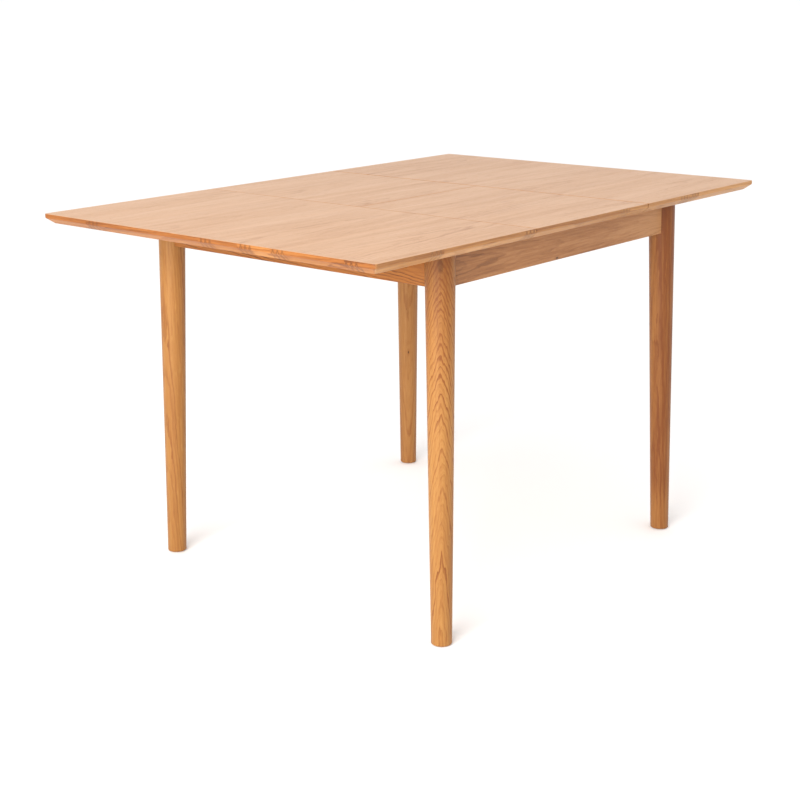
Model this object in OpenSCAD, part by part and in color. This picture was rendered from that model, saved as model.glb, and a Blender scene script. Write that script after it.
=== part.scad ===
// Extendable dining table on four round tapered legs, shown extended.
// Two end tops slide on geared wooden runners; a two-part folding leaf fills the middle.
// Millimetres, +X along the table, +Z up, origin on the floor under the middle of the table.

/* [Top] */
// Length of the table with the leaf in place
top_l = 1250; // [1150:5:1500]
// Width of the table
top_w = 850; // [780:5:1000]
// Height of the table surface above the floor
top_h = 750; // [600:5:900]
// Thickness of the tops and the leaf
panel_t = 19; // [17:0.5:25]
// Length of the leaf along the table
leaf_l = 378; // [300:1:420]
// Upright part of the rim
rim_h = 8; // [5:0.5:12]
// How far the undercut runs in under the rim
bevel_in = 13; // [5:0.5:20]
// Plan radius of the outer corners
corner_r = 6; // [3:0.5:12]
// Joint between the left top and the leaf
joint_l = 0.4; // [0.3:0.1:2]
// Joint between the leaf and the right top
joint_r = 1.6; // [0.3:0.1:2]
// Seam between the two halves of the leaf
seam = 0.6; // [0.6:0.1:1]

/* [Legs] */
// Distance between leg centres along the table, measured at the leg tops
leg_dx = 740; // [650:5:900]
// Distance between leg centres across the table, measured at the leg tops
leg_dy = 698; // [640:2:850]
// Leg diameter at the top
leg_d = 55; // [50:1:70]
// Leg diameter at the foot
foot_d = 39; // [30:1:50]
// Outward lean of each leg along and across the table, degrees
leg_splay = 1.2; // [0:0.1:3]
// Thickness of the glide under each foot
glide_t = 1.5; // [1:0.5:4]
// Diameter of the glide
glide_d = 28; // [20:1:29]

/* [Aprons] */
// Height of the aprons
apron_h = 66; // [60:1:90]
// Thickness of the aprons
apron_t = 21; // [18:0.5:24]
// How far the outer face of an apron stands outside the leg centres
apron_out = 14; // [11:0.5:15]
// Distance from a leg centre to the seat of an apron in the leg
seat = 20; // [18:0.5:22]
// Gap between the aprons and the underside of the tops
apron_gap = 2; // [1:0.5:4]

/* [Corner blocks] */
// Distance from a leg centre to the near face of its corner block
block_near = 30; // [29:0.5:36]
// Thickness of a corner block
block_t = 18; // [14:0.5:20]
// Height of a corner block
block_h = 50; // [40:1:56]
// Diameter of the hanger bolts
bolt_d = 8; // [6:1:10]
// Height between the two bolts of one leg
bolt_gap = 26; // [22:1:30]

/* [Slides] */
// Distance of the fixed guide rails from the centre line
rail_y = 250; // [245:1:300]
// Width of a guide rail
rail_w = 24; // [22:1:28]
// Height of the guide rails
rail_h = 36; // [34:1:40]
// Width of a runner
run_w = 22; // [20:0.5:24]
// Distance from the end of the table to the end of its runners
run_set = 170; // [150:5:200]
// How far a runner reaches past the middle of the table
run_past = 70; // [65:1:100]
// Distance each top pulls out to free the leaf
release = 40; // [20:1:45]
// Height and depth of the runner tongues
tongue = 5.4; // [4:0.2:6]
// Thickness of the glide strips on the guide rails
strip_t = 1.6; // [1:0.1:1.7]
// Width of the cross rails
cross_w = 20; // [16:1:26]
// Gap between the leaf well and the cross rails
cross_gap = 8; // [5:1:20]

/* [Gears] */
// Gear module
gear_m = 2; // [1.6:0.1:2.2]
// Teeth on each pinion
gear_z = 16; // [14:2:18]
// Thickness of a pinion
gear_t = 8; // [6:0.5:9]
// Thickness of a rack behind its teeth
rack_back = 4; // [3:0.5:5]
// Diameter of the pinion pins
gear_pin_d = 6; // [4:0.5:8]
// Play between the gear teeth
backlash = 0.3; // [0.2:0.05:0.5]

/* [Leaf gear] */
// Diameter of the pivot rod
rod_d = 8; // [6:0.5:10]
// Depth of the pivot rod below the leaf
rod_drop = 11; // [10:0.5:14]
// Radius of the lugs around the rod
lug_r = 9; // [7:0.5:9.5]
// Distance of each hinge pin from the seam of the leaf
pin_y = 5; // [4.5:0.1:8]
// Depth of the hinge pins below the table surface
pin_drop = 1.4; // [1.3:0.1:1.5]
// Diameter of the hinge pins
pin_d = 1.5; // [1:0.1:1.6]
// Radius of the ends of a hinge link
link_r = 1.3; // [1.2:0.05:1.35]
// Thickness of the hinge links and plates
link_t = 1.4; // [1:0.1:2]
// Length of a hinge plate across the table
plate_l = 26; // [16:1:40]
// Height of a hinge plate
plate_h = 11; // [8:0.5:14]

/* [Clearances] */
// Running clearance between a slide and its guide
slide_c = 0.4; // [0.3:0.05:0.8]
// Clearance of a moving piece through an opening
pass_c = 0.8; // [0.5:0.1:1.5]
// Fit of glued and fastened pieces
fit_c = 0.1; // [0.05:0.05:0.2]
// Radial clearance of a shaft in its bore
bore_c = 0.05; // [0.02:0.01:0.1]

/* [Hidden] */
$fn = 64;
under_z = top_h - panel_t;
drop = panel_t - rim_h;
end_l = (top_l - leaf_l - joint_l - joint_r) / 2;
leaf_x0 = -top_l / 2 + end_l + joint_l;
leaf_x1 = leaf_x0 + leaf_l;
stroke = leaf_l / 2;

base_z = under_z - apron_gap;
apron_z = base_z - apron_h;
apron_x = leg_dx / 2 + apron_out;
apron_y = leg_dy / 2 + apron_out;
inner_x = apron_x - apron_t;
inner_y = apron_y - apron_t;
house = 8;

slide_z = base_z - rail_h;
run_v = rail_w / 2 + slide_c;
run_u1 = top_l / 2 - run_set;
tongue_z = base_z - 6 - tongue;
cross_x = max(-leaf_x0, leaf_x1) + cross_gap;

pitch_r = gear_m * gear_z / 2;
addendum = 0.9 * gear_m;
dedendum = 1.25 * gear_m;
tooth_p = PI * gear_m;
gear_z0 = slide_z + 7;
rack_h = gear_t + 1;
rack_v1 = pitch_r + dedendum + rack_back;
rack_u1 = stroke + pitch_r + addendum + 4;
rack_n0 = -floor((run_past - 4) / tooth_p);
rack_n1 = floor(rack_u1 / tooth_p);

rod_y = top_w / 8;
rod_z = under_z - rod_drop;
arm_x = stroke - 40;

screw_r = 2;
screw_head = 4;
block_z = apron_z + (apron_h - block_h) / 2;
bolt_z = [block_z + block_h / 2 - bolt_gap / 2, block_z + block_h / 2 + bolt_gap / 2];

oak = [0.85, 0.68, 0.48];
oak_dark = [0.72, 0.52, 0.34];
beech = [0.86, 0.74, 0.58];
steel = [0.66, 0.67, 0.69];
brass = [0.78, 0.64, 0.36];
nylon = [0.90, 0.89, 0.86];

// ---- shared shapes ----

function corner_arc(cx, cy, a0) =
    [for (i = [0:6]) [cx + corner_r * cos(a0 + 15 * i), cy + corner_r * sin(a0 + 15 * i)]];

module box(x0, x1, y0, y1, z0, z1)
    translate([x0, y0, z0]) cube([x1 - x0, y1 - y0, z1 - z0]);

module rod_x(x0, x1, y, z, r)
    translate([x0, y, z]) rotate([0, 90, 0]) cylinder(h = x1 - x0, r = r);

// A prism that cuts the undercut of a rim facing -Y, centred on the origin along X.
module undercut(len) {
    s = drop / bevel_in;
    rotate([90, 0, 90])
        linear_extrude(len, center = true)
            polygon([[-1, -1], [bevel_in + 1 / s, -1], [-1, drop + s]]);
}

module rim_front() translate([0, -top_w / 2, under_z]) undercut(top_l + 20);
module rim_back() mirror([0, 1, 0]) rim_front();
module rim_left() translate([-top_l / 2, 0, under_z]) rotate([0, 0, -90]) undercut(top_w + 20);

// A wood screw pointing up, its head resting on z = 0.
module screw(len, grow = 0) {
    translate([0, 0, -2.5]) cylinder(h = 2.5 + grow, r = screw_head + grow);
    cylinder(h = len + grow, r = screw_r + grow);
}

// Places a piece of one slide: u runs out along the table, v away from the guide rail.
// Left runners lie outside their rail and right runners inside it.
module at_rail(side, sy) {
    o = side < 0 ? 1 : -1;
    translate([0, sy * rail_y, 0])
        mirror([side < 0 ? 1 : 0, 0, 0])
            mirror([0, sy * o < 0 ? 1 : 0, 0])
                children();
}

module at_leg(sx, sy)
    translate([sx * leg_dx / 2, sy * leg_dy / 2, 0])
        mirror([sx > 0 ? 1 : 0, 0, 0])
            mirror([0, sy > 0 ? 1 : 0, 0])
                children();

// ---- tops and leaf ----

top_screw_u = [stroke + 36, (stroke + 36 + run_u1 - 20) / 2, run_u1 - 20];
top_screw_z = slide_z + 19;

module top_screw_set(side, grow = 0)
    for (sy = [-1, 1], u = top_screw_u)
        at_rail(side, sy)
            translate([u, run_v + run_w / 2, top_screw_z])
                screw(under_z + 10 - top_screw_z, grow);

module end_top() {
    x1 = -top_l / 2 + end_l;
    c = corner_r;
    difference() {
        translate([0, 0, under_z])
            linear_extrude(panel_t)
                polygon(concat(
                    [[x1, -top_w / 2], [x1, top_w / 2]],
                    corner_arc(-top_l / 2 + c, top_w / 2 - c, 90),
                    corner_arc(-top_l / 2 + c, -top_w / 2 + c, 180)));
        rim_left();
        rim_front();
        rim_back();
        top_screw_set(-1, fit_c);
    }
}

// The right top is the left one in reverse, with its screws on the inner runners.
module end_top_right() {
    x0 = top_l / 2 - end_l;
    c = corner_r;
    difference() {
        translate([0, 0, under_z])
            linear_extrude(panel_t)
                polygon(concat(
                    [[x0, top_w / 2], [x0, -top_w / 2]],
                    corner_arc(top_l / 2 - c, -top_w / 2 + c, 270),
                    corner_arc(top_l / 2 - c, top_w / 2 - c, 0)));
        mirror([1, 0, 0]) rim_left();
        rim_front();
        rim_back();
        top_screw_set(1, fit_c);
    }
}

// A table hinge is let into each end of the leaf at the seam. Its link turns on two pins,
// one in each half, so that the halves fold face to face. Places a piece at both leaf ends,
// x running into the leaf from its end and z down to the pins.
module at_leaf_ends() {
    translate([leaf_x0, 0, top_h - pin_drop]) children();
    translate([leaf_x1, 0, top_h - pin_drop]) mirror([1, 0, 0]) children();
}

link_x = 0.35;
plate_x = link_x + link_t + 0.1;

module hinge_plate(grow = 0) {
    box(plate_x - (grow > 0 ? 5 : 0), plate_x + link_t + grow, seam / 2 + 1 - grow, plate_l + grow,
        pin_drop - 0.4 - plate_h - grow, pin_drop - 0.4 + grow);
    rod_x(link_x - (grow > 0 ? 5 : 0), plate_x + 0.2, pin_y, 0, pin_d / 2);
    for (y = [plate_l * 0.45, plate_l - 4])
        rod_x(plate_x + 0.2, plate_x + 14 + grow, y, pin_drop - 0.4 - plate_h / 2, 1.4 + grow);
}

// The hollow for one half of a hinge: its plate, and a slot open at the top for the link.
module hinge_hollow() {
    hinge_plate(fit_c);
    box(-1, plate_x, -1, pin_y + link_r + 0.3, -link_r - 0.3, 5);
}

module leaf_blank() box(leaf_x0, leaf_x1, seam / 2, top_w / 2, under_z, top_h);

module left_top() color(oak) end_top();

module right_top() color(oak) end_top_right();

module leaf_front()
    color(oak)
        mirror([0, 1, 0])
            difference() {
                leaf_blank();
                rim_back();
                at_leaf_ends() hinge_hollow();
            }

module leaf_back()
    color(oak)
        difference() {
            leaf_blank();
            rim_back();
            at_leaf_ends() hinge_hollow();
            arm_screw_set(fit_c);
        }

module leaf_hinges_front() color(brass) mirror([0, 1, 0]) at_leaf_ends() hinge_plate();

module leaf_hinges_back() color(brass) at_leaf_ends() hinge_plate();

module hinge_links()
    color(brass)
        at_leaf_ends()
            difference() {
                union() {
                    for (y = [-pin_y, pin_y]) rod_x(link_x, link_x + link_t, y, 0, link_r);
                    box(link_x, link_x + link_t, -pin_y, pin_y, -link_r, link_r);
                }
                for (y = [-pin_y, pin_y]) rod_x(0, 5, y, 0, pin_d / 2 + bore_c);
            }

// ---- legs ----

// Seats for the aprons are cut into the round leg, and two bolts enter on the diagonal.
module leg(sx, sy) {
    e = 20;
    k = (leg_d - foot_d) / 2 / base_z;
    difference() {
        intersection() {
            translate([sx * leg_dx / 2, sy * leg_dy / 2, base_z])
                rotate([sy * leg_splay, -sx * leg_splay, 0])
                    translate([0, 0, -base_z - e])
                        cylinder(h = base_z + 2 * e, r1 = foot_d / 2 - k * e, r2 = leg_d / 2 + k * e);
            translate([0, 0, glide_t])
                linear_extrude(base_z - glide_t)
                    square([2 * leg_dx, 2 * leg_dy], center = true);
        }
        at_leg(sx, sy) {
            i = apron_t - apron_out + fit_c;
            o = -apron_out - fit_c;
            box(seat, leg_d, o, i, apron_z - fit_c, base_z + 1);
            box(o, i, seat, leg_d, apron_z - fit_c, base_z + 1);
            bolts(5, fit_c);
        }
    }
}

// The two bolts of one leg, in the frame of at_leg, from a distance d0 out of the leg centre.
module bolts(d0, grow = 0)
    for (z = bolt_z)
        translate([0, 0, z])
            rotate([0, 90, 45])
                translate([0, 0, d0])
                    cylinder(h = block_near + block_t + 12 - d0 + grow, r = bolt_d / 2 + grow);

module leg_front_left() color(oak) leg(-1, -1);

module leg_front_right() color(oak) leg(1, -1);

module leg_back_left() color(oak) leg(-1, 1);

module leg_back_right() color(oak) leg(1, 1);

module foot_glides() {
    lean = base_z * tan(leg_splay);
    color(nylon)
        for (sx = [-1, 1], sy = [-1, 1])
            translate([sx * (leg_dx / 2 + lean), sy * (leg_dy / 2 + lean), 0])
                cylinder(h = glide_t, d = glide_d);
}

// ---- aprons ----

cross_z = apron_z + 1;

module long_apron(sy) {
    x = leg_dx / 2 - seat;
    mirror([0, sy < 0 ? 1 : 0, 0])
        difference() {
            box(-x, x, inner_y, apron_y, apron_z, base_z);
            for (sx = [-1, 1])
                mirror([sx < 0 ? 1 : 0, 0, 0])
                    box(cross_x - fit_c, cross_x + cross_w + fit_c, inner_y - 1, inner_y + house + fit_c,
                        cross_z - fit_c, slide_z + fit_c);
            for (sx = [-1, 1]) at_leg(sx, 1) block_screw_pair(fit_c);
        }
}

module end_apron(side) {
    y = leg_dy / 2 - seat;
    difference() {
        box(side < 0 ? -apron_x : inner_x, side < 0 ? -inner_x : apron_x, -y, y, apron_z, base_z);
        for (sy = [-1, 1]) {
            at_rail(side, sy)
                box(inner_x - 1, inner_x + house + fit_c, -rail_w / 2 - fit_c, rail_w / 2 + fit_c,
                    slide_z - fit_c, base_z + 1);
            at_rail(side, sy)
                box(inner_x - 1, apron_x + 1, run_v - tongue - pass_c, run_v + run_w + pass_c,
                    slide_z - pass_c, base_z + 1);
            at_leg(side, sy) block_screw_pair(fit_c);
        }
    }
}

module apron_front() color(oak_dark) long_apron(-1);

module apron_back() color(oak_dark) long_apron(1);

module apron_left() color(oak_dark) end_apron(-1);

module apron_right() color(oak_dark) end_apron(1);

// ---- corner blocks and their fasteners ----

module corner_block() {
    i = apron_t - apron_out;
    n = block_near * sqrt(2);
    f = (block_near + block_t) * sqrt(2);
    difference() {
        translate([0, 0, block_z])
            linear_extrude(block_h)
                polygon([[i, n - i], [i, f - i], [f - i, i], [n - i, i]]);
        bolts(block_near - 5, 0.5);
        block_screw_pair(fit_c);
    }
}

// One screw into each apron, in the frame of at_leg.
module block_screw_pair(grow = 0) {
    i = apron_t - apron_out;
    d = (block_near + block_t) * sqrt(2) - i - 14;
    h = i + 7;
    z = block_z + block_h / 2;
    for (m = [0, 1])
        mirror([m, -m, 0])
            translate([h, d, z])
                rotate([0, -90, 0]) {
                    screw(17, grow);
                    if (grow > 0) translate([0, 0, -20]) cylinder(h = 20, r = screw_head + grow);
                }
}

module corner_blocks()
    color(beech) for (sx = [-1, 1], sy = [-1, 1]) at_leg(sx, sy) corner_block();

module block_screws()
    color(steel) for (sx = [-1, 1], sy = [-1, 1]) at_leg(sx, sy) block_screw_pair();

module hanger_bolts()
    color(steel) for (sx = [-1, 1], sy = [-1, 1]) at_leg(sx, sy) bolts(6);

// A ring on each bolt, r outer radius, h thick, s sides, from d0 out of the leg centre.
module on_bolts(d0, h, r, s)
    for (sx = [-1, 1], sy = [-1, 1], z = bolt_z)
        at_leg(sx, sy)
            translate([0, 0, z])
                rotate([0, 90, 45])
                    translate([0, 0, d0])
                        difference() {
                            cylinder(h = h, r = r, $fn = s);
                            translate([0, 0, -1]) cylinder(h = h + 2, r = bolt_d / 2 + bore_c);
                        }

module washers() color(steel) on_bolts(block_near + block_t, 1.6, bolt_d, 64);

module nuts() color(steel) on_bolts(block_near + block_t + 1.6, 6.5, bolt_d * 0.93, 6);

// ---- guide rails, cross rails ----

module guide_rail(sy)
    translate([0, sy * rail_y, 0])
        difference() {
            box(-inner_x - house, inner_x + house, -rail_w / 2, rail_w / 2, slide_z, base_z);
            for (m = [0, 1])
                mirror([0, m, 0])
                    box(-apron_x, apron_x, rail_w / 2 - tongue, rail_w,
                        tongue_z - slide_c, tongue_z + tongue + slide_c);
            box(-pitch_r - addendum - pass_c, pitch_r + addendum + pass_c, -rail_w, rail_w,
                gear_z0 - 0.4, gear_z0 + gear_t + 0.4);
            translate([0, 0, slide_z - 1])
                cylinder(h = gear_z0 + gear_t + 7 - slide_z, d = gear_pin_d + 2 * fit_c);
            for (sx = [-1, 1])
                translate([sx * (cross_x + cross_w / 2), 0, slide_z - 1])
                    cylinder(h = 13 + fit_c, r = screw_r + fit_c);
        }

module guide_rail_front() color(beech) guide_rail(-1);

module guide_rail_back() color(beech) guide_rail(1);

module glide_strips()
    color(nylon)
        for (sy = [-1, 1])
            translate([0, sy * rail_y, 0])
                box(-inner_x + 10, inner_x - 10, -6, 6, base_z, base_z + strip_t);

module cross_rail(sx)
    mirror([sx < 0 ? 1 : 0, 0, 0])
        difference() {
            box(cross_x, cross_x + cross_w, -inner_y - house, inner_y + house, cross_z, slide_z);
            rail_screw_pair(fit_c);
            bracket_screw_pair(fit_c);
        }

module rail_screw_pair(grow = 0)
    for (sy = [-1, 1])
        translate([cross_x + cross_w / 2, sy * rail_y, slide_z - 12]) {
            screw(24, grow);
            if (grow > 0) translate([0, 0, -30]) cylinder(h = 30, r = screw_head + grow);
        }

module cross_rail_left() color(beech) cross_rail(-1);

module cross_rail_right() color(beech) cross_rail(1);

module rail_screws()
    color(steel) for (m = [0, 1]) mirror([m, 0, 0]) rail_screw_pair();

// ---- runners, racks, stops ----

module runner(side, sy)
    at_rail(side, sy)
        difference() {
            union() {
                box(-run_past, run_u1, run_v, run_v + run_w, slide_z, under_z);
                box(-run_past, run_u1, run_v - tongue + slide_c, run_v + 1, tongue_z, tongue_z + tongue);
            }
            box(-run_past - 1, rack_u1 + fit_c, run_v - 1, rack_v1 + fit_c,
                gear_z0 - 0.5 - fit_c, gear_z0 - 0.5 + rack_h + fit_c);
            for (u = top_screw_u)
                translate([u, run_v + run_w / 2, top_screw_z]) {
                    screw(under_z, fit_c);
                    translate([0, 0, -30]) cylinder(h = 30, r = screw_head + fit_c);
                }
            stop_screw(fit_c);
        }

module runner_left_front() color(beech) runner(-1, -1);

module runner_left_back() color(beech) runner(-1, 1);

module runner_right_front() color(beech) runner(1, -1);

module runner_right_back() color(beech) runner(1, 1);

// The rack has a tooth space at the middle of the table, where the pinion stands.
module rack(side, sy) {
    t = (tooth_p / 2 - backlash) / 2;
    ta = t - addendum * tan(20);
    tb = t + dedendum * tan(20);
    at_rail(side, sy)
        translate([0, pitch_r, gear_z0 - 0.5])
            linear_extrude(rack_h)
                polygon(concat(
                    [for (n = [rack_n0:rack_n1 - 1], p = [[-tb, dedendum], [-ta, -addendum],
                        [ta, -addendum], [tb, dedendum]]) [(n + 0.5) * tooth_p + p[0], p[1]]],
                    [[rack_n1 * tooth_p, dedendum], [rack_n1 * tooth_p, dedendum + rack_back],
                        [rack_n0 * tooth_p, dedendum + rack_back], [rack_n0 * tooth_p, dedendum]]));
}

module rack_left_front() color(nylon) rack(-1, -1);

module rack_left_back() color(nylon) rack(-1, 1);

module rack_right_front() color(nylon) rack(1, -1);

module rack_right_back() color(nylon) rack(1, 1);

// A point on one flank of a tooth: the involute at radius r, g the half angle at the base.
base_r = pitch_r * cos(20);
function roll(r) = sqrt(pow(r / base_r, 2) - 1) * 180 / PI - acos(base_r / r);
half_a = 180 / PI * (tooth_p / 2 - backlash) / 2 / pitch_r + roll(pitch_r);
tip_r = pitch_r + addendum;
root_r = pitch_r - dedendum;
function flank(r) = [r, half_a - (r > base_r ? roll(r) : 0)];
tooth = [flank(root_r), flank(base_r), flank(base_r + (tip_r - base_r) / 3),
    flank(base_r + (tip_r - base_r) * 2 / 3), flank(tip_r)];

module pinion(sy)
    translate([0, sy * rail_y, gear_z0])
        difference() {
            linear_extrude(gear_t)
                polygon([for (n = [0:gear_z - 1], i = [0:9])
                    let (p = tooth[i < 5 ? i : 9 - i], a = 90 + n * 360 / gear_z + (i < 5 ? -1 : 1) * p[1])
                        [p[0] * cos(a), p[0] * sin(a)]]);
            translate([0, 0, -1]) cylinder(h = gear_t + 2, d = gear_pin_d + 2 * bore_c);
        }

module pinion_front() color(nylon) pinion(-1);

module pinion_back() color(nylon) pinion(1);

module pinion_pins()
    color(steel)
        for (sy = [-1, 1])
            translate([0, sy * rail_y, slide_z])
                cylinder(h = gear_z0 + gear_t + 5 - slide_z, d = gear_pin_d);

// A stop under each runner meets a cross rail when its top is pulled out to free the leaf.
stop_u = cross_x - release - 0.5 - 20;

module stop_screw(grow = 0)
    translate([stop_u + 10, run_v + run_w / 2, slide_z - 10]) {
        screw(15, grow);
        if (grow > 0) translate([0, 0, -12]) cylinder(h = 12, r = screw_head + grow);
    }

module stops(side)
    for (sy = [-1, 1])
        at_rail(side, sy) {
            difference() {
                box(stop_u, stop_u + 20, run_v + 2, run_v + run_w - 2, slide_z - 16, slide_z);
                stop_screw(fit_c);
            }
        }

module stops_left() color(beech) stops(-1);

module stops_right() color(beech) stops(1);

module top_screws(side) {
    top_screw_set(side);
    for (sy = [-1, 1]) at_rail(side, sy) stop_screw();
}

module top_screws_left() color(steel) top_screws(-1);

module top_screws_right() color(steel) top_screws(1);

// ---- pivot of the folding leaf ----

module pivot_rod() color(steel) rod_x(-cross_x - cross_w + 2, cross_x + cross_w - 2, rod_y, rod_z, rod_d / 2);

module lug(x, w, z0, z1)
    difference() {
        union() {
            rod_x(x, x + w, rod_y, rod_z, lug_r);
            box(x, x + w, rod_y - lug_r, rod_y + lug_r, z0, z1);
        }
        rod_x(x - 1, x + w + 1, rod_y, rod_z, rod_d / 2 + bore_c);
    }

module pivot_brackets()
    color(steel)
        for (m = [0, 1])
            mirror([m, 0, 0])
                difference() {
                    union() {
                        lug(cross_x + 2, cross_w - 4, slide_z, rod_z);
                        box(cross_x + 2, cross_x + cross_w - 2, rod_y - 28, rod_y + 28, slide_z, slide_z + 4);
                    }
                    bracket_screw_pair(fit_c);
                }

module bracket_screw_pair(grow = 0)
    for (s = [-1, 1])
        translate([cross_x + cross_w / 2, rod_y + s * 20, slide_z + 4])
            mirror([0, 0, 1])
                screw(16, grow);

module bracket_screws()
    color(steel) for (m = [0, 1]) mirror([m, 0, 0]) bracket_screw_pair();

module pivot_arms()
    color(steel)
        for (m = [0, 1])
            mirror([m, 0, 0])
                difference() {
                    union() {
                        lug(arm_x, 16, rod_z, under_z);
                        box(arm_x, arm_x + 16, rod_y - 28, rod_y + 28, under_z - 4, under_z);
                    }
                    arm_screw_pair(fit_c);
                }

module arm_screw_pair(grow = 0)
    for (s = [-1, 1])
        translate([arm_x + 8, rod_y + s * 20, under_z - 4]) screw(16, grow);

module arm_screw_set(grow = 0) for (m = [0, 1]) mirror([m, 0, 0]) arm_screw_pair(grow);

module arm_screws() color(steel) arm_screw_set();

left_top();
right_top();
leaf_front();
leaf_back();
leaf_hinges_front();
leaf_hinges_back();
hinge_links();
leg_front_left();
leg_front_right();
leg_back_left();
leg_back_right();
foot_glides();
apron_front();
apron_back();
apron_left();
apron_right();
corner_blocks();
block_screws();
hanger_bolts();
washers();
nuts();
guide_rail_front();
guide_rail_back();
glide_strips();
rail_screws();
cross_rail_left();
cross_rail_right();
runner_left_front();
runner_left_back();
runner_right_front();
runner_right_back();
rack_left_front();
rack_left_back();
rack_right_front();
rack_right_back();
pinion_front();
pinion_back();
pinion_pins();
stops_left();
stops_right();
top_screws_left();
top_screws_right();
pivot_rod();
pivot_brackets();
bracket_screws();
pivot_arms();
arm_screws();
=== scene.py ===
import math

import bmesh
import bpy
from mathutils import Matrix, Vector


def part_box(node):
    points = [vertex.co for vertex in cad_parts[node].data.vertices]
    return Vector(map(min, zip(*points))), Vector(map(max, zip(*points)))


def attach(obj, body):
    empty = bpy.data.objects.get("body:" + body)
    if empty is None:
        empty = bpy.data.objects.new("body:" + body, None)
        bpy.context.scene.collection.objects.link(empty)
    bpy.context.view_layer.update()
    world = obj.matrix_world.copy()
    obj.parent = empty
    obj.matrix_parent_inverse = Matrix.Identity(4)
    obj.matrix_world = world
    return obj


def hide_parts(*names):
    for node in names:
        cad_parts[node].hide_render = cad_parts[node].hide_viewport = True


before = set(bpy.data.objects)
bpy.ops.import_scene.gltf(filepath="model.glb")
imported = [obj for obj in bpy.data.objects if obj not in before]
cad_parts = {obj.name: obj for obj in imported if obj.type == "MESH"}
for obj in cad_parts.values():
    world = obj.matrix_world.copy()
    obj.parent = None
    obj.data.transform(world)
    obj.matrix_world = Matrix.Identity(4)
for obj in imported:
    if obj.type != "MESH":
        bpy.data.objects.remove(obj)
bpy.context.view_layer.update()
MM = 0.001

# ---- The end tops and the leaf ----
# Four oak-veneered panels, 19 mm thick, lipped in solid oak that is finger-jointed from
# short blocks. Below an upright rim the lipping is planed back, and the joints butt.

RIM_HEIGHT = 8 * MM
UNDERCUT_IN = 13 * MM
PLAN_CORNER = 6 * MM
ARRIS = 0.8 * MM
VENEER_STRIP = 212.5 * MM
SHADE_ACROSS = math.cos(math.radians(50))
PANEL_DEPTH = 19 * MM
UNDERSIDE = 731 * MM
END_BLOCKS = (-0.376, -0.208, -0.129, -0.032, 0.279)
SIDE_BLOCKS = (-0.47, -0.21, 0.105, 0.334, 0.372)
FINGERS, FINGER_PITCH = 34 * MM, 11 * MM
GLUE_LINE = (0.10, 0.36)
LEVEL, EASED, TILTED = 0.97, 0.6, 0.1
SAME_PLACE = 1e-6


class Sock:
    """A socket that does maths: an expression on it adds the Math nodes."""

    def __init__(self, tree, out):
        self.tree, self.out = tree, out

    def _math(self, kind, *values):
        node = self.tree.nodes.new("ShaderNodeMath")
        node.operation = kind
        for slot, v in zip(node.inputs, values):
            if isinstance(v, Sock):
                self.tree.links.new(v.out, slot)
            else:
                slot.default_value = v
        return Sock(self.tree, node.outputs[0])

    def __add__(self, other):
        return self._math("ADD", self, other)

    def __sub__(self, other):
        return self._math("SUBTRACT", self, other)

    def __mul__(self, other):
        return self._math("MULTIPLY", self, other)

    def __truediv__(self, other):
        return self._math("DIVIDE", self, other)

    def __radd__(self, other):
        return self._math("ADD", other, self)

    def __rsub__(self, other):
        return self._math("SUBTRACT", other, self)

    def __rmul__(self, other):
        return self._math("MULTIPLY", other, self)

    def floor(self):
        return self._math("FLOOR", self)

    def frac(self):
        return self._math("FRACT", self)

    def root(self):
        return self._math("SQRT", self)

    def size(self):
        return self._math("ABSOLUTE", self)

    def over(self, other):
        return self._math("GREATER_THAN", self, other)

    def clip(self):
        s = self._math("ADD", self, 0)
        s.out.node.use_clamp = True
        return s


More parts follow.
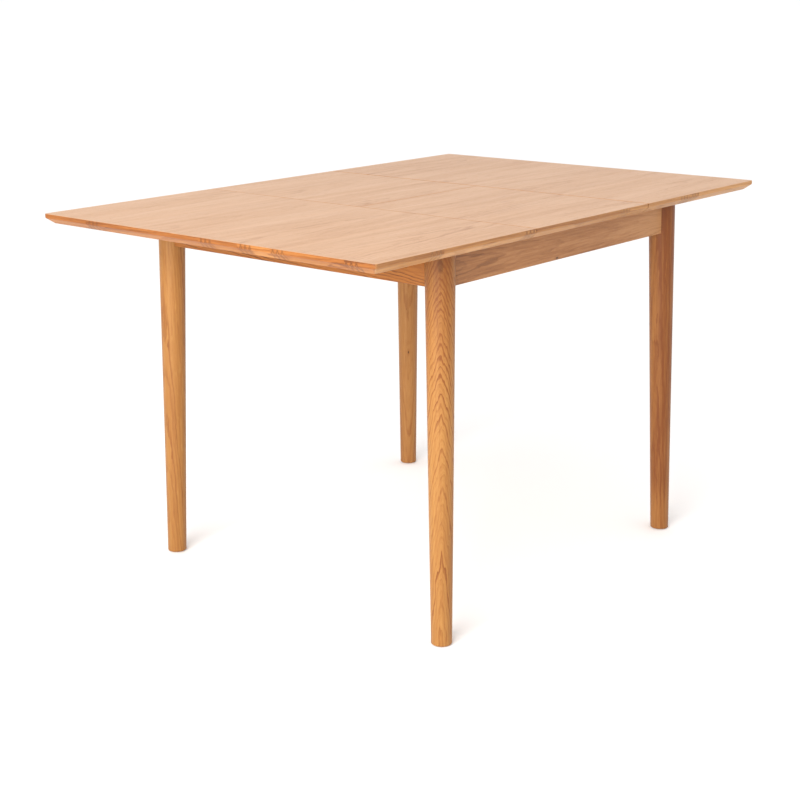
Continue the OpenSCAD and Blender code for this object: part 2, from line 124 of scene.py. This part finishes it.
class Finish:
    """A material being made up, with its node tree and the piece's own coordinates."""

    def __init__(self, name):
        self.mat = bpy.data.materials.new(name)
        self.mat.use_nodes = True
        self.tree = self.mat.node_tree
        self.shader = self.tree.nodes["Principled BSDF"]
        at = self.node("ShaderNodeTexCoord")
        split = self.node("ShaderNodeSeparateXYZ", Vector=at.outputs["Object"])
        self.x, self.y, self.z = (Sock(self.tree, o) for o in split.outputs)

    def plug(self, slot, v):
        if isinstance(v, Sock):
            v = v.out
        if isinstance(v, bpy.types.NodeSocket):
            self.tree.links.new(v, slot)
        else:
            slot.default_value = v

    def node(self, kind, settings=None, inputs=(), **sockets):
        n = self.tree.nodes.new(kind)
        for key, v in (settings or {}).items():
            setattr(n, key, v)
        for slot, v in zip(n.inputs, inputs):
            if v is not None:
                self.plug(slot, v)
        for key, v in sockets.items():
            self.plug(n.inputs[key.replace("_", " ")], v)
        return n

    def vec(self, x, y, z):
        return self.node("ShaderNodeCombineXYZ", X=x, Y=y, Z=z).outputs[0]

    def noise(self, x, y, z, detail=2.0, rough=0.5):
        n = self.node("ShaderNodeTexNoise", Vector=self.vec(x, y, z), Scale=1.0, Detail=detail,
                      Roughness=rough)
        return Sock(self.tree, n.outputs["Fac"])

    def dice(self, x, y, z):
        n = self.node("ShaderNodeTexWhiteNoise", {"noise_dimensions": "3D"},
                      Vector=self.vec(x, y, z))
        return Sock(self.tree, n.outputs["Value"])

    def ramp(self, fac, stops):
        n = self.node("ShaderNodeValToRGB", Fac=fac)
        while len(n.color_ramp.elements) < len(stops):
            n.color_ramp.elements.new(0.5)
        for e, (pos, colour) in zip(n.color_ramp.elements, stops):
            e.position, e.color = pos, (*colour, 1)
        return n.outputs["Color"]

    def step(self, v, low, high):
        n = self.node("ShaderNodeMapRange", {"interpolation_type": "SMOOTHSTEP"}, (v, low, high))
        return Sock(self.tree, n.outputs[0])

    def mix(self, fac, a, b, blend="MIX"):
        n = self.node("ShaderNodeMix", {"data_type": "RGBA", "blend_type": blend})
        colours = [s for s in n.inputs if s.type == "RGBA"]
        self.plug(n.inputs[0], fac)
        self.plug(colours[0], a)
        self.plug(colours[1], b)
        return next(s for s in n.outputs if s.type == "RGBA")

    def finish(self, colour, roughness, height=None, depth=0.0, **fixed):
        self.plug(self.shader.inputs["Base Color"], colour)
        self.plug(self.shader.inputs["Roughness"], roughness)
        if height is not None:
            bump = self.node("ShaderNodeBump", Height=height, Distance=depth, Strength=1.0)
            self.plug(self.shader.inputs["Normal"], bump.outputs[0])
        for key, v in fixed.items():
            self.shader.inputs[key.replace("_", " ")].default_value = v
        return self.mat


def darker(colour, share):
    return (*[c * share for c in colour], 1)


def finger_joints(f, u, joints):
    """Which block a place along the strip is on, and how close it is to a glue line."""
    saw = ((u / FINGER_PITCH).frac() - 0.5).size() * 2
    gap = saw - (f.z - UNDERSIDE) / PANEL_DEPTH
    block, glue = 0.0, 0.0
    for at in joints:
        inside = 1 - (u - at).size().over(FINGERS / 2)
        block = inside * gap.over(0) + u.over(at + FINGERS / 2) + block
        glue = inside * (1 - f.step(gap.size(), *GLUE_LINE)) + glue
    return block, glue


def oak(name, tones, along="X", upright=False, seed=0.0, strips=0.0, joints=(), mixed=0.5,
        heart=None, middle=0.0, ring=3.0 * MM, slope=0.1, curl=0.0, across=0.6, tip=12 * MM,
        sway=5 * MM, wander=1.7, lines=0.5, streaks=0.5, flecks=0.0, marks=0.0, deepen=(),
        knots=(), rough=0.42, gleam=0.5):
    """Oiled oak in three tones (pale, middle, dark), with its grain along one axis.

    The yearly rings, each as wide as ring, meet the face as arches about the line middle:
    slope is how fast they run out along the grain and curl how that grows, across how fast
    they close in from the sides, tip how round an arch's head is, sway how far it drifts
    and wander how rough its line is. seed picks the figure. lines, streaks, flecks and
    marks say how strongly each shows, rough how matt the face is, and gleam how much light
    its oil throws back. An upright board shows its height, others their width. strips is
    the width of a veneer strip, joints the places where one finger-jointed block meets the
    next, and mixed how much the blocks differ. heart is the way round a leg that its
    arches face, in degrees from +X, with the leg's place. deepen holds stretches of a
    darker tone, or a paler one where the amount is below nothing: where along the grain
    each starts and is full, the line that it follows, how wide it is, and the amount.
    knots holds each one's place along and across the grain, its size and how dark its
    core is."""
    f = Finish(name)
    u, v, w = {"X": (f.x, f.y, f.z), "Y": (f.y, f.x, f.z), "Z": (f.z, f.x, f.y)}[along]
    if upright:
        v, w = w, v
    if heart is not None:
        c, s = math.cos(math.radians(heart[0])), math.sin(math.radians(heart[0]))
        hx, hy = f.x - heart[1], f.y - heart[2]
        v, w = hy * c - hx * s, hx * c + hy * s
    v = v - middle

    # Each block or veneer strip is its own piece of wood, with its own chance of being dark.
    piece, chance = seed, 0.5
    if joints:
        block, glue = finger_joints(f, u, joints)
        piece = block * 1.37 + seed
        chance = f.dice(piece, seed, 1.0)
    if strips:
        row = (v / strips + seed).floor()
        v = v - (row + (0.5 - seed)) * strips
        edge = (v / strips).size() * 2
        piece = row * 2.7 + seed
        chance = f.dice(piece, seed, 1.0)

    # The rings, met at a slant, with pale early wood that darkens to a sharp late line.
    drift = f.noise(u * 2.2 + piece * 7.0, piece, v * 3, 2.0)
    ripple = f.noise(u * 14 + piece * 5.0, v * 60, w * 60, 3.0, 0.6)
    cv = (v + (drift - 0.5) * sway * 4 + (chance - 0.5) * sway * 2) * across
    bulge = 0.0 if strips else 0.45 if heart is None else -0.3
    run = u * (slope + u * curl) + w * bulge + (cv * cv + (across * tip) * (across * tip)).root()
    turns = (run + (ripple - 0.5) * ring * wander) / ring
    phase = turns.frac()
    patch = f.noise(u * 5 + piece, v * 45, w * 45, 2.0)
    late = f.step(phase, 0.42, 0.93) * (1 - f.step(phase, 0.94, 1.0))
    year = f.dice(turns.floor(), seed, piece)
    fine = ((turns * 2.7).frac() - 0.5).size() * 2

    # Broad clouding, long streaks, fibres and open pores, each finer than the last.
    broad = f.noise(u * 2.6 + piece * 3.0, v * 34, w * 34, 3.0, 0.55)
    streak = f.noise(u * 8 + piece * 3.0, v * 240, w * 240, 3.0, 0.65)
    fibre = f.noise(u * 34, v * 900, w * 900, 2.0, 0.6)
    pore = f.step(f.noise(u * 60, v * 1400, w * 1400, 1.0), 0.58, 0.70) * (0.3 + late * 0.7)
    tone = (0.38 + late * (0.20 + year * year * 0.9) * (0.35 + patch * 1.3) * lines
            + (fine - 0.5) * 0.16 * lines
            + (broad - 0.5) * 1.1 * streaks + (streak - 0.5) * 1.2 * streaks + (fibre - 0.5) * 0.34
            + (chance - 0.5) * (mixed * 1.8 if joints else 0.12))
    if strips:
        tone = tone - f.step(edge, 0.86, 1.0) * 0.34 * lines
    # Stretches of deeper or paler tone. On the legs, the long aprons and the joint faces these are
    # painted shade and painted light.
    for start, end, side, wide, much in deepen:
        stretch = f.step(u + (drift - 0.5) * 0.2, start, end)
        near = 1 - f.step((v + (drift - 0.5) * (wide * 0.4) - side).size(), wide * 0.4, wide)
        tone = tone + stretch * near * much
    if marks:
        spot = f.noise(u * 9 + piece * 9.0, v * 95, piece, 2.0, 0.5)
        tone = tone + f.step(spot, 0.64, 0.80) * (1.2 - edge if strips else 1.0) * marks
    if flecks:
        ray = f.step(f.noise(u * 34, v * 210, w * 210, 1.0), 0.62, 0.74)
        tone = tone - ray * flecks

    # The tone picks the colour; pores, glue lines and knots go over it.
    pale, middle_tone, dark = tones
    colour = f.ramp(tone.clip(), [(0.0, pale), (0.45, middle_tone), (1.0, dark)])
    colour = f.mix(pore * 0.28, colour, darker(dark, 0.55))
    if joints:
        colour = f.mix((glue * 0.5).clip(), colour, darker(dark, 0.55))
    for ku, kv, size, core in knots:
        du, dv = (u - ku) / 2.4, v - kv
        off = ((du * du + dv * dv).root() + (ripple - 0.5) * size) / size
        colour = f.mix((1 - f.step(off, 0.3, 2.6)) * 0.45, colour, (*dark, 1))
        colour = f.mix((1 - f.step(off, 0.45, 0.9)) * core, colour, darker(dark, 0.22))
    gloss = rough + (broad - 0.5) * 0.14 + pore * 0.16 + (fibre - 0.5) * 0.08
    relief = streak * 0.25 + fibre * 0.45 - pore * 0.9 - late * 0.15
    return f.finish(colour, gloss, relief, 0.00016, IOR=1.47, Specular_IOR_Level=gleam)


def linear(*seen):
    """A colour given as it is seen, 0 to 255, in the shader's linear values."""
    return tuple((c / 255 / 12.92) if c <= 10 else ((c / 255 + 0.055) / 1.055) ** 2.4 for c in seen)


VENEER = (linear(208, 162, 122), linear(196, 149, 108), linear(162, 108, 64))
SOLID_WARM = (linear(184, 124, 64), linear(150, 90, 38), linear(104, 54, 18))
SOLID = (linear(200, 148, 94), linear(178, 126, 74), linear(134, 84, 44))
veneer_figure = dict(strips=VENEER_STRIP, ring=5.5 * MM, slope=0.035, across=0.75, tip=40 * MM,
                     sway=8 * MM, lines=0.32, streaks=0.62, marks=0.45, rough=0.40)
veneers = {"left": oak("veneer_left", VENEER, seed=0.0, **veneer_figure),
           "leaf": oak("veneer_leaf", VENEER, seed=0.37, **veneer_figure),
           "right": oak("veneer_right", VENEER, seed=4.02, **veneer_figure)}

# Where the tone deepens or pales: the start and the full place along the grain, then the
# line that it follows and how wide it is, both across the grain.
WHOLE_LENGTH, TO_THE_RIGHT, TO_THE_FRONT = (-2, -1), (0.45, -0.1), (-0.15, -0.40)
FRONT_END, BACK_END = (-0.398, -0.413), (0.398, 0.413)
UNDERCUT, RIM, MID_PANEL = (0.733, 9 * MM), (0.748, 10 * MM), (0.740, 50 * MM)
WHOLE_FACE = (0, 1)
end_lipping = oak("end_lipping", SOLID_WARM, along="Y", upright=True, joints=END_BLOCKS,
                  mixed=0.28, seed=2.0, ring=4 * MM, slope=0.02, lines=0.4, streaks=0.7, gleam=0.3,
                  deepen=((*TO_THE_FRONT, *MID_PANEL, 0.12), (*WHOLE_LENGTH, *UNDERCUT, -0.20),
                          (*WHOLE_LENGTH, *RIM, 0.08)))
side_lipping = oak("side_lipping", SOLID, along="X", upright=True, joints=SIDE_BLOCKS,
                   mixed=0.24, seed=4.0, ring=4 * MM, slope=0.012, lines=0.35, streaks=0.7,
                   gleam=0.35, deepen=((*TO_THE_RIGHT, *RIM, 0.34),))
JOINT_EDGE = (linear(196, 136, 84), linear(178, 118, 68), linear(130, 80, 40))
# The faces in the butt joints between panels are a raw edge, darker than the veneer. Their near-black
# dark tone is painted shade of the narrow gap. The deepen stretches add more painted shade at the
# front and back ends, where the gap shows in the rim and undercut.
JOINT_FACE = (linear(158, 112, 68), linear(134, 90, 52), linear(60, 34, 17))
UNDER_VENEER = (linear(196, 160, 122), linear(180, 142, 104), linear(150, 108, 74))
joint_edge = oak("joint_edge", JOINT_EDGE, along="Y", seed=8.0, lines=0.4, gleam=0.2, rough=0.6)
joint_face = oak("joint_face", JOINT_FACE, along="Y", upright=True, seed=9.0, lines=0.3,
                 streaks=0.35, gleam=0.2, rough=0.6,
                 deepen=((*BACK_END, *WHOLE_FACE, 0.55), (*FRONT_END, *WHOLE_FACE, 0.55)))
under_veneer = oak("under_veneer", UNDER_VENEER, seed=0.61, **veneer_figure)


def soften(mesh):
    """Shade the piece smooth round its eased edges, with its flat faces left flat."""
    bm = bmesh.new()
    bm.from_mesh(mesh)
    area = {face: face.calc_area() for face in bm.faces}
    normals = []
    for face in bm.faces:
        for v in face.verts:
            parts = [f.normal * area[f] for f in v.link_faces
                     if f.normal.dot(face.normal) > SHADE_ACROSS]
            normals.append(sum(parts, Vector()).normalized())
    bm.free()
    mesh.shade_smooth()
    mesh.normals_split_custom_set(normals)


def add_piece(name, bm, mats, body, node):
    mesh = bpy.data.meshes.new(name)
    bmesh.ops.recalc_face_normals(bm, faces=bm.faces)
    bm.to_mesh(mesh)
    bm.free()
    for m in mats:
        mesh.materials.append(m)
    obj = bpy.data.objects.new(name, mesh)
    bpy.context.scene.collection.objects.link(obj)
    soften(mesh)
    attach(obj, body)
    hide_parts(node)
    return obj


def ease(bm, edges, offset, segments=2):
    bmesh.ops.bevel(bm, geom=edges, offset=offset, offset_type="OFFSET", segments=segments,
                    profile=0.5, affect="EDGES", clamp_overlap=True, material=-1)


def block_of(bm, low, high):
    """A plain cuboid from one corner to the other."""
    bmesh.ops.create_cube(bm, size=1)
    bmesh.ops.scale(bm, vec=[h - l for l, h in zip(low, high)], verts=bm.verts)
    bmesh.ops.translate(bm, vec=[(h + l) / 2 for l, h in zip(low, high)], verts=bm.verts)


def moved_verts(result):
    return [g for g in result["geom"] if isinstance(g, bmesh.types.BMVert)]


def panel(node, body, rims, top_mat):
    """rims holds the sides that have the undercut rim, of -x, +x, -y and +y; the others butt."""
    (x0, y0, z0), (x1, y1, z1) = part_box(node)
    rim_z = z1 - RIM_HEIGHT
    bm = bmesh.new()
    block_of(bm, (x0, y0, rim_z), (x1, y1, z1))
    corners = []
    for e in bm.edges:
        a, b = (v.co for v in e.verts)
        if (a - b).xy.length < SAME_PLACE:
            sides = {"-x" if a.x < (x0 + x1) / 2 else "+x",
                     "-y" if a.y < (y0 + y1) / 2 else "+y"}
            if sides <= set(rims):
                corners.append(e)
    if corners:
        ease(bm, corners, PLAN_CORNER, segments=6)
    bottom = [f for f in bm.faces if f.normal.z < -0.9]
    verts = moved_verts(bmesh.ops.extrude_face_region(bm, geom=bottom))
    bmesh.ops.delete(bm, geom=bottom, context="FACES")
    low_x = x0 + UNDERCUT_IN * ("-x" in rims), x1 - UNDERCUT_IN * ("+x" in rims)
    low_y = y0 + UNDERCUT_IN * ("-y" in rims), y1 - UNDERCUT_IN * ("+y" in rims)
    for v in verts:
        v.co.x = low_x[0] + (v.co.x - x0) / (x1 - x0) * (low_x[1] - low_x[0])
        v.co.y = low_y[0] + (v.co.y - y0) / (y1 - y0) * (low_y[1] - low_y[0])
        v.co.z = z0
    bmesh.ops.recalc_face_normals(bm, faces=bm.faces)
    bm.normal_update()
    ease(bm, [e for e in bm.edges if e.calc_face_angle(0) > math.radians(30)], ARRIS)
    bm.normal_update()
    mats = [top_mat, end_lipping, side_lipping, under_veneer, joint_edge, joint_face]
    for f in bm.faces:
        n = f.normal
        if abs(n.x) > abs(n.y):
            side = "+x" if n.x > 0 else "-x"
        else:
            side = "+y" if n.y > 0 else "-y"
        if n.z > (EASED if side in rims else LEVEL):
            mat = top_mat
        elif n.z < -LEVEL:
            mat = under_veneer
        elif side not in rims:
            mat = joint_edge if n.z > TILTED else joint_face
        else:
            mat = end_lipping if side[1] == "x" else side_lipping
        f.material_index = mats.index(mat)
    add_piece(node + "_panel", bm, mats, body, node)


panel("left_top", "left_top", ("-x", "-y", "+y"), veneers["left"])
panel("right_top", "right_top", ("+x", "-y", "+y"), veneers["right"])
panel("leaf_front", "leaf_front", ("-y",), veneers["leaf"])
panel("leaf_back", "frame", ("+y",), veneers["leaf"])

# ---- The legs ----
# Turned from solid oak, 55 mm at the top and 39 mm at the foot, each leaning out a
# little both ways. Every leg has its own figure, and its foot's edge is eased.

LEG_TOP, LEG_FOOT = 27.5 * MM, 19.5 * MM
LEG_FACETS, LEG_SPARE = 96, 20 * MM
LEG_SPREAD = (370 * MM, 349 * MM)
LEG_LEAN = math.radians(1.2)
FOOT_EASE = 1.6 * MM
LEG_TONES = (linear(174, 126, 67), linear(157, 106, 51), linear(126, 71, 26))


def leg(name, sx, sy, mat):
    """Turned a little over length, leant, set in place and sawn level at both ends."""
    (_, _, z0), (_, _, z1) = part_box(name)
    flare = (LEG_TOP - LEG_FOOT) / z1 * LEG_SPARE
    bm = bmesh.new()
    bmesh.ops.create_cone(bm, cap_ends=True, segments=LEG_FACETS, radius1=LEG_FOOT - flare,
                          radius2=LEG_TOP + flare, depth=z1 + 2 * LEG_SPARE)
    bmesh.ops.translate(bm, vec=(0, 0, -z1 / 2), verts=bm.verts)
    lean = Matrix.Rotation(sy * LEG_LEAN, 3, "X") @ Matrix.Rotation(-sx * LEG_LEAN, 3, "Y")
    bmesh.ops.rotate(bm, cent=(0, 0, 0), matrix=lean, verts=bm.verts)
    bmesh.ops.translate(bm, vec=(sx * LEG_SPREAD[0], sy * LEG_SPREAD[1], z1), verts=bm.verts)
    for z, side in ((z0, -1), (z1, 1)):
        cut = bmesh.ops.bisect_plane(bm, geom=bm.verts[:] + bm.edges[:] + bm.faces[:],
                                     plane_co=(0, 0, z), plane_no=(0, 0, side), clear_outer=True)
        rim = [g for g in cut["geom_cut"] if isinstance(g, bmesh.types.BMEdge)]
        bmesh.ops.contextual_create(bm, geom=rim)
    foot = [e for e in bm.edges if all(abs(v.co.z - z0) < SAME_PLACE for v in e.verts)]
    ease(bm, foot, FOOT_EASE, segments=3)
    add_piece(name + "_turned", bm, [mat], "frame", name)


def leg_oak(name, sx, sy, facing, shade, **figure):
    """A leg's own oak: facing is the way round that its arches face."""
    tones = [tuple(c * k for c, k in zip(t, shade)) for t in LEG_TONES]
    at = (facing, sx * LEG_SPREAD[0], sy * LEG_SPREAD[1])
    return oak(name, tones, along="Z", heart=at, gleam=0.32, **figure)


# On the front left leg the deepen stretch darkens the wood toward its top: painted shadow of the
# tabletop's overhang.
leg("leg_front_left", -1, -1, leg_oak(
    "leg_oak_crown", -1, -1, 221, (1, 1, 1), seed=1.0, ring=3.2 * MM, slope=0.03, curl=0.14,
    across=0.45, tip=3 * MM, sway=2.6 * MM, wander=2.7, lines=0.9, streaks=0.6,
    deepen=((0.45, 0.72, 0, 50 * MM, 0.36),), knots=((0.706, 0.0, 8 * MM, 0.35),)))
leg("leg_back_left", -1, 1, leg_oak(
    "leg_oak_rift", -1, 1, 290, (0.93, 0.90, 0.86), seed=3.3, ring=4.2 * MM, slope=-0.03, across=0.8,
    lines=0.35, streaks=0.6, flecks=0.2))
# The front right leg has darker tones. Its first deepen stretch is painted shade down its shaded
# side, and its second is painted shadow of the top over its upper end.
leg("leg_front_right", 1, -1, leg_oak(
    "leg_oak_dark_painted_shade", 1, -1, 200, (0.84, 0.75, 0.72), seed=5.6, ring=5.0 * MM, slope=0.03,
    lines=0.6, streaks=0.9,
    deepen=((0.02, 0.10, 16 * MM, 25 * MM, 0.36), (0.55, 0.73, 6 * MM, 60 * MM, 0.12))))
# The back right leg's tones are lifted: partly a paler leg, partly painted light standing in for its
# lit right side.
leg("leg_back_right", 1, 1, leg_oak(
    "leg_oak_knot", 1, 1, 221, (0.97, 0.95, 1.04), seed=7.9, ring=4.0 * MM, slope=-0.04, lines=0.35,
    streaks=0.6, knots=((0.293, 0.0, 2.2 * MM, 0.85),)))

# ---- The aprons ----
# Solid oak boards, 66 by 21 mm, seated in the legs. The end aprons are notched for
# the runners, and every long edge is just eased.

NOTCH_PLAY = 0.8 * MM
APRON_EASE = 0.9 * MM
APRON_TONES = (linear(178, 128, 82), linear(158, 106, 62), linear(118, 72, 38))
APRON_MIDDLE = 696 * MM
# The deepen stretches on both long aprons paint shade toward the left end and paint light toward the
# right end.
apron_oak = oak("apron_oak", APRON_TONES, along="X", upright=True, middle=APRON_MIDDLE,
                seed=6.1, ring=5 * MM, slope=0.05, across=0.7, lines=0.4, streaks=0.9,
                flecks=0.12, gleam=0.35, knots=((-0.034, -0.029, 2.5 * MM, 0.85),),
                deepen=((0.1, 0.35, *WHOLE_FACE, -0.30), (-0.10, -0.35, *WHOLE_FACE, 0.16)))
END_TONES = (linear(172, 110, 44), linear(154, 92, 33), linear(104, 56, 18))
end_apron_oak = oak("end_apron_oak", END_TONES, along="Y", upright=True, middle=APRON_MIDDLE,
                    seed=7.7, ring=4 * MM, slope=0.07, across=0.8, lines=0.8, streaks=0.6,
                    gleam=0.35)


def long_apron(name):
    low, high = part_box(name)
    bm = bmesh.new()
    block_of(bm, low, high)
    ease(bm, bm.edges[:], APRON_EASE)
    add_piece(name + "_board", bm, [apron_oak], "frame", name)


def end_apron(name, runners):
    """Its outline, with a notch open at the top for each runner, pulled to its thickness."""
    (x0, y0, z0), (x1, y1, z1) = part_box(name)
    outline = [(y0, z0), (y1, z0), (y1, z1)]
    for r in runners:
        (_, ra, rz), (_, rb, _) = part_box(r)
        ra, rb, rz = ra - NOTCH_PLAY, rb + NOTCH_PLAY, rz - NOTCH_PLAY
        outline += [(rb, z1), (rb, rz), (ra, rz), (ra, z1)]
    outline.append((y0, z1))
    bm = bmesh.new()
    face = bm.faces.new([bm.verts.new((x0, y, z)) for y, z in outline])
    verts = moved_verts(bmesh.ops.extrude_face_region(bm, geom=[face]))
    bmesh.ops.translate(bm, vec=(x1 - x0, 0, 0), verts=verts)
    bmesh.ops.recalc_face_normals(bm, faces=bm.faces)
    ease(bm, bm.edges[:], APRON_EASE)
    add_piece(name + "_board", bm, [end_apron_oak], "frame", name)


long_apron("apron_front")
long_apron("apron_back")
end_apron("apron_left", ("runner_left_back", "runner_left_front"))
end_apron("apron_right", ("runner_right_back", "runner_right_front"))

# ---- The slides and the blocks under the top ----
# Guide rails, runners, cross rails, stops and corner blocks, screwed under the top. They
# are planed beech, pale and close-grained, left as it comes from the machine.

BEECH = (linear(214, 182, 142), linear(198, 162, 120), linear(168, 128, 88))
beech = dict(ring=2.5 * MM, slope=0.02, lines=0.25, streaks=0.3, flecks=0.25, rough=0.5)
beech_along = oak("beech_along", BEECH, along="X", seed=5.0, **beech)
beech_across = oak("beech_across", BEECH, along="Y", seed=5.5, **beech)


def clad(nodes, mat):
    """Give parts that are already the right shape their finish."""
    for node in nodes:
        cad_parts[node].material_slots[0].material = mat


clad(("guide_rail_front", "guide_rail_back", "runner_left_front", "runner_left_back",
      "runner_right_front", "runner_right_back", "stops_left", "stops_right"), beech_along)
clad(("cross_rail_left", "cross_rail_right", "corner_blocks"), beech_across)

# ---- The metal and nylon fittings ----
# Zinc-plated bolts, screws, rod and brackets; brass leaf hinges; moulded nylon gears,
# racks, glide strips and foot glides.


def metal(name, colour, rough):
    f = Finish(name)
    cloud = f.noise(f.x * 90, f.y * 90, f.z * 90, 4.0, 0.6)
    scratch = f.noise(f.x * 40, f.y * 900, f.z * 900)
    shade = f.mix((cloud - 0.2).clip() * 0.5, (*colour, 1), darker(colour, 0.78))
    return f.finish(shade, rough + (cloud - 0.5) * 0.16 + (scratch - 0.5) * 0.10, scratch, 0.00004,
                    Metallic=1.0)


def nylon(name, colour):
    f = Finish(name)
    cloud = f.noise(f.x * 60, f.y * 60, f.z * 60, 3.0, 0.6)
    grain = f.noise(f.x * 2200, f.y * 2200, f.z * 2200)
    shade = f.mix(cloud * 0.4, (*colour, 1), darker(colour, 0.90))
    return f.finish(shade, 0.42 + (cloud - 0.5) * 0.1, grain, 0.00003)


ZINC, BRASS, NYLON = (0.62, 0.63, 0.65), (0.74, 0.54, 0.24), (0.78, 0.77, 0.73)
clad(("block_screws", "hanger_bolts", "washers", "nuts", "rail_screws", "pinion_pins",
      "top_screws_left", "top_screws_right", "pivot_rod", "pivot_brackets", "bracket_screws",
      "pivot_arms", "arm_screws"), metal("zinc_plate", ZINC, 0.34))
clad(("leaf_hinges_front", "leaf_hinges_back", "hinge_links"), metal("brass", BRASS, 0.30))
clad(("foot_glides", "glide_strips", "rack_left_front", "rack_left_back", "rack_right_front",
      "rack_right_back", "pinion_front", "pinion_back"), nylon("moulded_nylon", NYLON))

# ---- The studio ----
# A white floor that runs out of sight under an even white sky, and one big soft lamp
# off the table's left end. The camera stands off the near corner.

CAMERA_AT = (-2.3252, -1.9277, 1.1807)
HEADING, DIP, ROLL = math.radians(40.53), math.radians(14.782), math.radians(-0.462)
SENSOR = 36.0
FOCAL_PER_FRAME = 1.8426
FRAME_SHIFT = -0.0397
SKY = 1.045
LAMP_AT, LAMP_AIM = (-3.4, -0.9, 1.7), (0, 0, 0.5)
LAMP_SIZE, LAMP_WATTS = (2.4, 2.0), 150
FLOOR_REACH = 400
FLOOR_WHITE = (0.965, 0.965, 0.965, 1)


def studio_camera():
    cam = bpy.data.objects.new("camera", bpy.data.cameras.new("camera"))
    cam.data.sensor_width = SENSOR
    cam.data.lens = SENSOR * FOCAL_PER_FRAME
    cam.data.shift_y = FRAME_SHIFT
    turn = Matrix.Rotation(HEADING - math.pi / 2, 4, "Z") @ Matrix.Rotation(math.pi / 2 - DIP, 4, "X")
    cam.matrix_world = Matrix.Translation(CAMERA_AT) @ turn @ Matrix.Rotation(ROLL, 4, "Z")
    bpy.context.scene.collection.objects.link(cam)
    bpy.context.scene.camera = cam


def soft_lamp(name, at, aim, size, watts):
    lamp = bpy.data.objects.new(name, bpy.data.lights.new(name, "AREA"))
    lamp.data.shape = "RECTANGLE"
    lamp.data.size, lamp.data.size_y = size
    lamp.data.energy = watts
    lamp.location = at
    lamp.rotation_euler = (Vector(aim) - Vector(at)).to_track_quat("-Z", "Y").to_euler()
    bpy.context.scene.collection.objects.link(lamp)


studio_camera()
soft_lamp("key_lamp", LAMP_AT, LAMP_AIM, LAMP_SIZE, LAMP_WATTS)
sky = bpy.data.worlds.new("studio_sky")
sky.use_nodes = True
sky.node_tree.nodes["Background"].inputs["Color"].default_value = (1, 1, 1, 1)
sky.node_tree.nodes["Background"].inputs["Strength"].default_value = SKY
bpy.context.scene.world = sky
bpy.context.scene.view_settings.view_transform = "Standard"

floor_bm = bmesh.new()
bmesh.ops.create_grid(floor_bm, x_segments=1, y_segments=1, size=FLOOR_REACH)
floor_mesh = bpy.data.meshes.new("floor")
floor_bm.to_mesh(floor_mesh)
floor_bm.free()
floor = bpy.data.objects.new("floor", floor_mesh)
bpy.context.scene.collection.objects.link(floor)
paint = Finish("floor_paint")
mottle = paint.noise(paint.x * 3, paint.y * 3, paint.z, 3.0)
floor_mesh.materials.append(paint.finish(FLOOR_WHITE, 0.85 + (mottle - 0.5) * 0.1))
